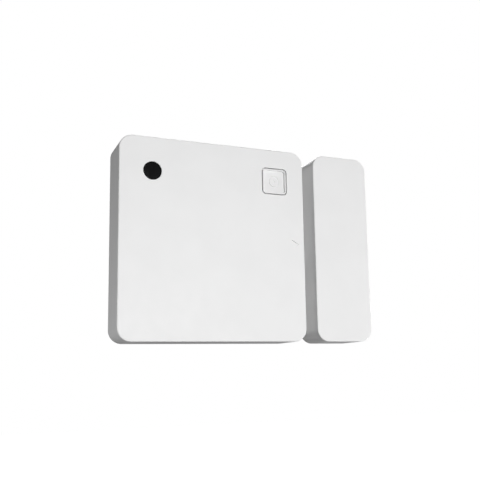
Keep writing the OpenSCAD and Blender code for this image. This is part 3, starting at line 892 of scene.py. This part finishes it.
def make_inductor(solder):
    box = node_box("power_inductor")
    core, ends = Piece("power_inductor_core"), Piece("power_inductor_ends")
    core.skin(moulded_rings(box.shrunk(0.03, 0, 0.02), 0.15, 0.02, 0.1))
    core.build("ferrite_grey", replaces=["power_inductor"])
    end, end_t = 0.4, box.size.y * 0.92
    for side in (-1, 1):
        part = box.cut(0, 0, end) if side < 0 else box.cut(0, box.size.x - end, box.size.x)
        ends.block(Box(part.low, (part.high.x, part.low.y + end_t, part.high.z)), 0.08, 3)
        foot = board_point(box.centre.x + side * box.size.x / 2, box.centre.z)
        add_fillet(solder, foot, X_AXIS * side, Z_AXIS, 0.3, 0.5, box.size.z - 0.1)
    ends.build("tinned_metal")


def make_front_parts(solder):
    """Magnetic switch with bent leads, and the light sensor and LED under the window."""
    box = make_package("magnetic_switch", "magnetic_switch_body", "chip_black",
                       radius=0.08, draft=0.07, bevel=0.04, waist=0.5)
    leads = Piece("magnetic_switch_bent_leads")
    lead_t, sunk, shoulder, heel = 0.12, 0.05, 0.14, 0.22
    middle, foot = -BOARD.front - box.size.y / 2, -BOARD.front - lead_t / 2
    for lead in solids("magnetic_switch_leads"):
        side = 1 if lead.centre.x > box.centre.x else -1
        near = box.centre.x + side * (box.size.x / 2 - sunk)
        far = lead.high.x if side > 0 else lead.low.x
        path = [Vector((x, y, lead.centre.z)) for x, y in (
            (near, middle), (near + side * shoulder, middle), (near + side * heel, foot), (far, foot))]
        leads.ribbon(path, Z_AXIS, lead_t, lead.size.z)
        toe = Vector((far, -BOARD.front, lead.centre.z))
        add_fillet(solder, toe, X_AXIS * side, Z_AXIS, 0.2, 0.1, 0.5)
    leads.build("tinned_metal", replaces=["magnetic_switch_leads"])
    for node, name, slot in (("light_sensor", "light_sensor_package", "sensor_clear"),
                             ("status_led", "status_led_package", "led_resin")):
        part = make_package(node, name, slot, radius=0.06, draft=0.02, bevel=0.06)
        pads = Piece(name + "_contacts")
        pad_w, pad_t, pad_inset = 0.22, 0.18, 0.05
        for end in (part.cut(0, 0, pad_w), part.cut(0, part.size.x - pad_w, part.size.x)):
            pads.block(Box((end.low.x, end.high.y - pad_t, end.low.z + pad_inset),
                           (end.high.x, end.high.y, end.high.z - pad_inset)), 0.02, 1)
        pads.build("tinned_metal")


# ---------------------------------------------------------------- copper, vias and printing

HOLDER_R = node_box("battery_holder").size.x / 2
BACK_PARTS = [node_box(name) for name in (
    "radio_chip", "radio_crystal", "clock_crystal", "motion_sensor", "power_inductor",
    "buffer_capacitor", "printed_antenna", "positive_contact")]
BACK_PARTS += solids("small_capacitors") + solids("small_resistors") + solids("test_pads")
BOARD_PINS = ((-13.8, -14), (13.8, -14), (-13.8, 5), (6, 14.4))
PIN_R = 0.95
# No via stands to the left of and above this point, where the antenna is
ANTENNA_CORNER = (-3.5, 12.5)


def is_free(x, z, margin):
    """True where the back of the board is bare."""
    if abs(x) > BOARD.size.x / 2 - margin or abs(z) > BOARD.size.z / 2 - margin:
        return False
    if math.hypot(x - CELL.centre.x, z - CELL.centre.z) < HOLDER_R + margin:
        return False
    if any(math.hypot(x - pin[0], z - pin[1]) < PIN_R + margin for pin in BOARD_PINS):
        return False
    return not any(box.low.x - margin < x < box.high.x + margin
                   and box.low.z - margin < z < box.high.z + margin for box in BACK_PARTS)


def add_via(piece, x, z, radius=0.24, hole=0.11):
    base, rise, sunk, floor_rise, steps = BOARD.back, 0.03, 0.01, 0.003, 16
    profile = ((radius, base + sunk), (radius - 0.02, base - rise),
               (hole, base - rise), (hole * 0.8, base - floor_rise))
    piece.skin([circle(r, level, (x, z), steps) for r, level in profile])


def make_copper():
    """Tracks that fan out from the radio chip and the small parts, each to a via."""
    tracks, vias = Piece("copper_tracks"), Piece("board_vias")
    track_w, track_t, track_room, via_room, via_gap = 0.14, 0.05, 0.12, 0.28, 0.6
    drawn = []

    def route(start, outward, across, straight, slant, side):
        """Draws one bent track and its via, and tells whether there was room."""
        knee = start + outward * straight
        end = knee + (outward + across * side) * slant
        steps = [start.lerp(knee, s / 4) for s in (3, 4)] + [knee.lerp(end, s / 5) for s in range(1, 6)]
        if not all(is_free(p.x, p.z, track_room) for p in steps) or not is_free(end.x, end.z, via_room):
            return False
        if any((end - other).length < via_gap for other in drawn):
            return False
        drawn.append(end)
        tracks.ribbon([start, knee, end], Y_AXIS, track_w, track_t)
        add_via(vias, end.x, end.z)
        return True

    def fan_out(start, outward, across, tries):
        """Draws the first track among the tries (straight, slant) that has room."""
        any(route(start, outward, across, straight, slant, side)
            for straight, slant in tries for side in (1, -1))

    chip_tries = [(straight, slant) for straight in (0.5, 0.8, 0.35) for slant in (0.7, 0.45, 1.0)]
    for start, outward, across in chip_contacts(node_box("radio_chip"), 0.1):
        fan_out(start, outward, across, chip_tries)
    for box in solids("small_capacitors") + solids("small_resistors"):
        axis, outward, across = lie(box)
        for end in (-1, 1):
            start = board_point(*box.spot) + outward * end * (box.size[axis] / 2 + 0.05)
            fan_out(start, outward * end, across, ((0.35, 0.5), (0.4, 0.8), (0.3, 0.3)))
    edge_x, edge_z, pitch, room, gap = BOARD.size.x / 2 - 0.6, BOARD.size.z / 2 - 0.6, 1.9, 0.3, 0.7
    for side in (-1, 1):
        for i in range(int(2 * edge_z / pitch) + 1):
            spots = [(side * edge_x, -edge_z + i * pitch)]
            if i * pitch < 2 * edge_x:
                spots.append((-edge_x + i * pitch, side * edge_z))
            for x, z in spots:
                point = board_point(x, z)
                if x < ANTENNA_CORNER[0] and z > ANTENNA_CORNER[1] or not is_free(x, z, room):
                    continue
                if all((point - other).length > gap for other in drawn):
                    drawn.append(point)
                    add_via(vias, x, z, 0.27, 0.13)
    tracks.build("mask_copper")
    vias.build("gold_plate")


def make_printing():
    """White lines on the board: frames round the larger parts, an arc, a plus and a minus sign."""
    ink = Piece("board_printing")
    line, thickness, frame_gap, arc_gap, arc_steps, edge_gap = 0.12, 0.04, 0.3, 0.35, 24, 0.3

    def bar(x0, z0, x1, z1):
        ink.ribbon([board_point(x0, z0), board_point(x1, z1)], Y_AXIS, line, thickness)

    def bracket(box, arm):
        for side_x in (-1, 1):
            for side_z in (-1, 1):
                x = box.centre.x + side_x * (box.size.x / 2 + frame_gap)
                z = box.centre.z + side_z * (box.size.z / 2 + frame_gap)
                bar(x + side_x * line / 2, z, x - side_x * arm, z)
                bar(x, z + side_z * line / 2, x, z - side_z * arm)

    for name, arm in (("radio_chip", 0.6), ("radio_crystal", 0.5), ("clock_crystal", 0.4),
                      ("motion_sensor", 0.4), ("power_inductor", 0.4), ("buffer_capacitor", 0.7)):
        bracket(node_box(name), arm)
    radius = HOLDER_R + arc_gap
    half_w, half_h = BOARD.size.x / 2 - edge_gap, BOARD.size.z / 2 - edge_gap
    for start, end in ((-38, 40), (142, 184), (228, 262), (278, 308)):
        angles = [math.radians(start + (end - start) * i / arc_steps) for i in range(arc_steps + 1)]
        path = [board_point(CELL.centre.x + radius * math.cos(a), CELL.centre.z + radius * math.sin(a))
                for a in angles]
        path = [point for point in path if abs(point.x) < half_w and abs(point.z) < half_h]
        if len(path) > 1:
            ink.ribbon(path, Y_AXIS, line, thickness)
    bar(-4.5, 6.6, -3.5, 6.6)
    bar(-4.0, 6.1, -4.0, 7.1)
    bar(11.2, -13.0, 12.2, -13.0)
    ink.build("cover_plastic", look="silk_white")


def make_magnet():
    """Pressed bar with softened edges under its nickel."""
    bar = Piece("bar_magnet_block")
    bar.block(node_box("bar_magnet"), 0.3, 4)
    bar.build("magnet_nickel", replaces=["bar_magnet"], body="magnet_unit")


make_button()
make_window()
make_pad("sensor_adhesive_pad", "sensor_foam_pad", "frame_side")
make_pad("magnet_adhesive_pad", "magnet_foam_pad", "magnet_unit")
make_back_cover()
make_coin_cell()
solder_joints = Piece("solder_joints")
make_chip_parts("small_capacitors", "capacitor", "ceramic_tan", solder_joints)
make_chip_parts("small_resistors", "resistor", "chip_black", solder_joints)
make_radio_chip(solder_joints)
make_crystal("radio_crystal", solder_joints)
make_crystal("clock_crystal", solder_joints)
make_package("motion_sensor", "motion_sensor_body", "chip_black", dot_r=0.15, radius=0.08, draft=0.0)
make_buffer_capacitor(solder_joints)
make_inductor(solder_joints)
make_front_parts(solder_joints)
solder_joints.build("tinned_metal")
make_copper()
make_printing()
make_magnet()


# ---------------------------------------------------------------- camera, light, floor

CAMERA_PLACE = (-0.04266, -0.12977, -0.02442)
AZIMUTH, ELEVATION, ROLL = (math.radians(angle) for angle in (24.02, 9.31, -1.31))
FACE_CENTRE = Vector((0.006, -0.008, 0))
SKY_SLOPE = (0.17, 0.0, 0.18)
MIRRORED_SLOPE = (0.0, -0.10, 0.24)
MIRRORED_LEVEL = 0.36
# Name, place, diameter in metres and power in watts
LAMPS = (
    ("front", (-0.05, -0.30, -0.05), 0.12, 0.107),
    ("front_right", (0.06, -0.30, 0.0), 0.10, 0.526),
    ("front_left", (-0.07, -0.10, -0.02), 0.04, 0.015),
    ("low_right", (0.12, -0.035, -0.10), 0.05, 0.073),
    ("low_left", (-0.15, 0.0, -0.06), 0.03, 0.042),
    ("near_left", (-0.06, -0.004, -0.035), 0.02, 0.002),
    ("behind", (0.25, 0.50, 0.35), 0.30, 3.0),
)


def make_camera():
    """Low and to the left of the sensor, looking a little upwards along the wall."""
    data = bpy.data.cameras.new("view")
    camera = put_in_scene("view", data)
    data.lens = 54.70
    data.shift_x = -0.0729
    data.shift_y = 0.0375
    data.clip_start = 0.01
    data.clip_end = 5
    camera.matrix_world = (Matrix.Translation(CAMERA_PLACE) @ Matrix.Rotation(-AZIMUTH, 4, "Z")
                           @ Matrix.Rotation(math.pi / 2 + ELEVATION, 4, "X")
                           @ Matrix.Rotation(ROLL, 4, "Z"))
    bpy.context.scene.camera = camera


def make_lamp(name, place, size, power):
    data = bpy.data.lights.new(name, "AREA")
    data.shape = "DISK"
    data.size = size
    data.energy = power
    lamp = put_in_scene(name, data)
    lamp.location = place
    lamp.rotation_euler = (FACE_CENTRE - Vector(place)).to_track_quat("-Z", "Y").to_euler()
    lamp.visible_camera = False


def make_world():
    """White to the eye. A dim sky lights the object, and its shiny parts mirror a paler one."""
    world = bpy.data.worlds.new("studio")
    bpy.context.scene.world = world
    world.use_nodes = True
    tree = world.node_tree
    tree.nodes.clear()
    new, link = tree.nodes.new, tree.links.new
    path = new("ShaderNodeLightPath")
    direction = new("ShaderNodeTexCoord").outputs["Generated"]

    def gradient(slope, level):
        """Background that brightens along the slope, and is never darker than black."""
        rise = new("ShaderNodeVectorMath")
        rise.operation = "DOT_PRODUCT"
        link(direction, rise.inputs[0])
        rise.inputs[1].default_value = slope
        value = new("ShaderNodeMath")
        value.operation = "ADD"
        link(rise.outputs["Value"], value.inputs[0])
        value.inputs[1].default_value = level
        floored = new("ShaderNodeMath")
        floored.operation = "MAXIMUM"
        link(value.outputs[0], floored.inputs[0])
        floored.inputs[1].default_value = 0
        shader = new("ShaderNodeBackground")
        shader.inputs["Color"].default_value = (1, 1, 1, 1)
        link(floored.outputs[0], shader.inputs["Strength"])
        return shader.outputs[0]

    def choose(ray, others, chosen):
        """chosen for rays of one kind, others for the rest."""
        node = new("ShaderNodeMixShader")
        link(path.outputs[ray], node.inputs["Fac"])
        link(others, node.inputs[1])
        link(chosen, node.inputs[2])
        return node.outputs[0]

    mirrored = gradient(MIRRORED_SLOPE, MIRRORED_LEVEL)
    unseen = choose("Is Glossy Ray", gradient(SKY_SLOPE, 0), mirrored)
    seen = gradient((0, 0, 0), 1)
    output = new("ShaderNodeOutputWorld")
    link(choose("Is Camera Ray", unseen, seen), output.inputs["Surface"])


def make_floor():
    """Pale floor under the wall piece, bright enough to run into the backdrop."""
    half, height = 1.5, -0.13
    mesh = bpy.data.meshes.new("floor")
    corners = [(x * half, z * half, height) for x, z in ((-1, -1), (1, -1), (1, 1), (-1, 1))]
    mesh.from_pydata(corners, [], [(0, 1, 2, 3)])
    floor = put_in_scene("floor", mesh)
    look = Look("pale_floor", (0.9, 0.9, 0.9), 0.9)
    look.shader.inputs["Emission Color"].default_value = (1, 1, 1, 1)
    look.shader.inputs["Emission Strength"].default_value = 1.0
    floor.data.materials.append(look.material)
    floor.visible_diffuse = False
    floor.visible_glossy = False
    floor.visible_shadow = False


make_camera()
make_world()
make_floor()
for lamp in LAMPS:
    make_lamp(*lamp)
bpy.context.scene.view_settings.view_transform = "Standard"
